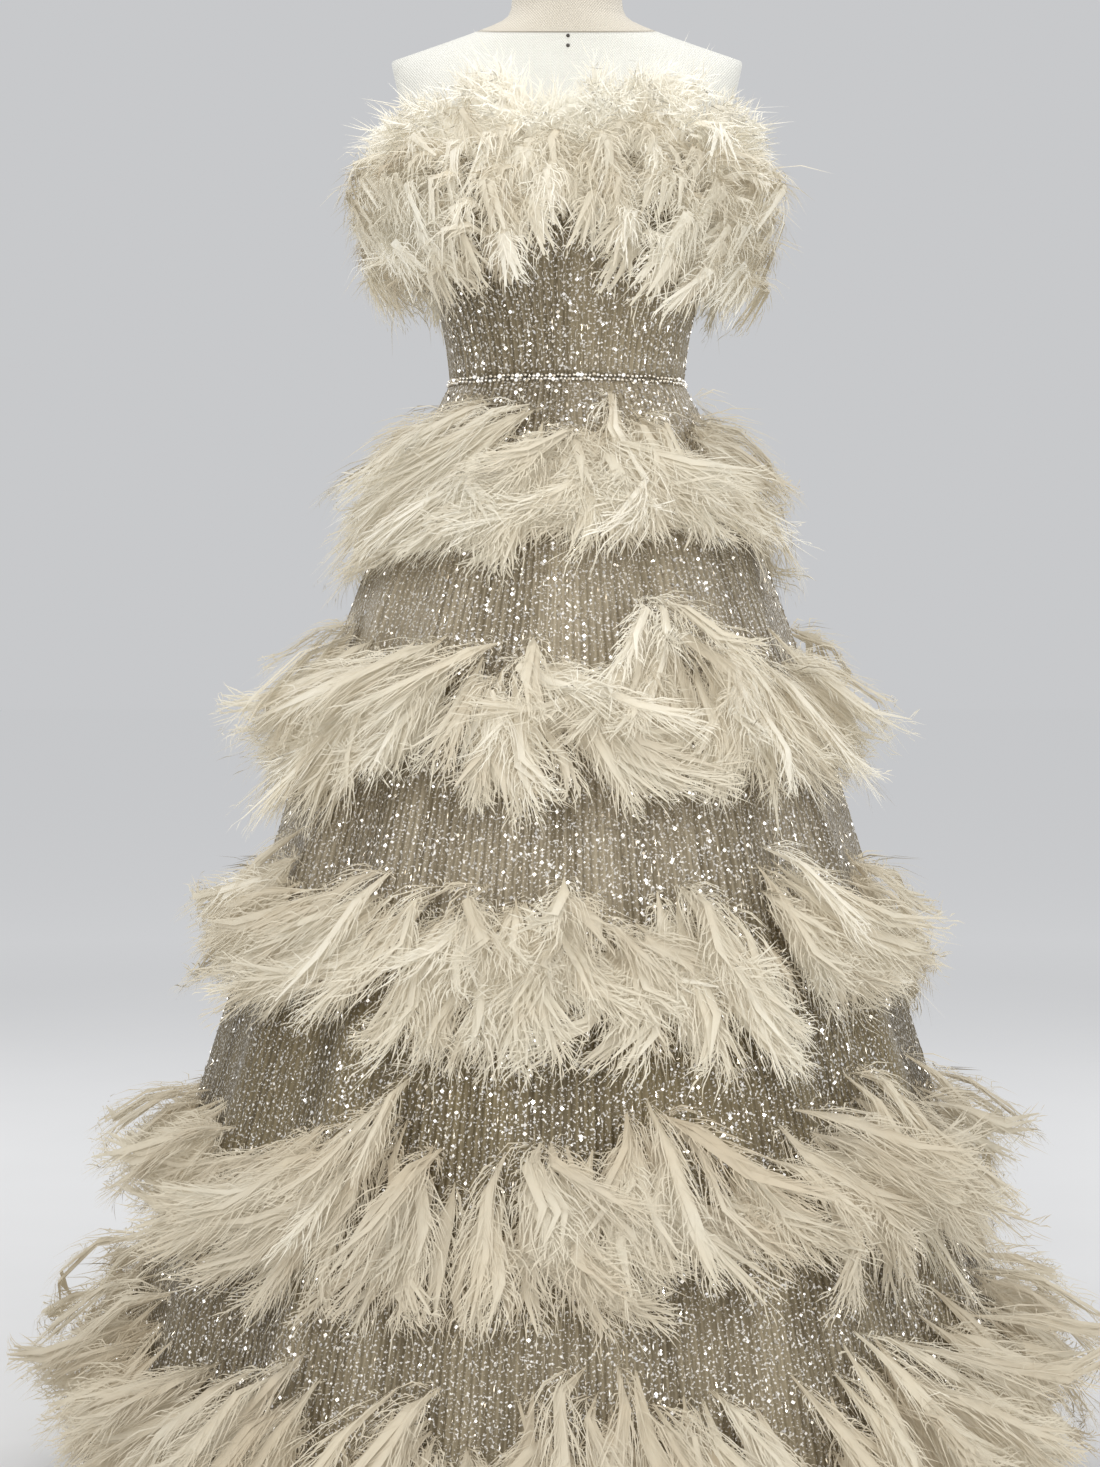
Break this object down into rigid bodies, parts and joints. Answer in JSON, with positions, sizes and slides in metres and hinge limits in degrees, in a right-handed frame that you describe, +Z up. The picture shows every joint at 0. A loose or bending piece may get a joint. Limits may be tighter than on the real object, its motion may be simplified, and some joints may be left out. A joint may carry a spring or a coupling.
{
  "type": "strapless feathered a-line gown on a limbless dress form",
  "caption": "Strapless floor-length a-line gown with feather trim at the bust and feather tiers down a glittering skirt, worn by a limbless dress form on a pole and round foot.",
  "frame": {"origin": "centre of the round foot's underside, on the floor", "axes": "+Z up, the gown's front faces -Y, +X to the right of someone who looks at the front"},
  "size_m": [1.1292, 1.1114, 1.6123],
  "materials": {
    "form_cover": "cream linen cover",
    "stand_metal": "satin",
    "sequin_cloth": "champagne mesh with sequins and beads",
    "feather": "soft ivory feathers"
  },
  "bodies": {
    "root": {"form_torso": "form_cover", "form_neck_cap": "stand_metal", "form_pole": "stand_metal", "form_collar": "stand_metal", "form_foot": "stand_metal", "bodice_front": "sequin_cloth", "bodice_back_left": "sequin_cloth", "bodice_back_right": "sequin_cloth", "skirt_front": "sequin_cloth", "skirt_back_left": "sequin_cloth", "skirt_back_right": "sequin_cloth", "bust_feathers_upper": "feather", "bust_feathers_lower": "feather", "feather_tier_1": "feather", "feather_tier_2": "feather", "feather_tier_3": "feather", "feather_tier_4": "feather", "feather_tier_5": "feather"}
  },
  "joints": []
}
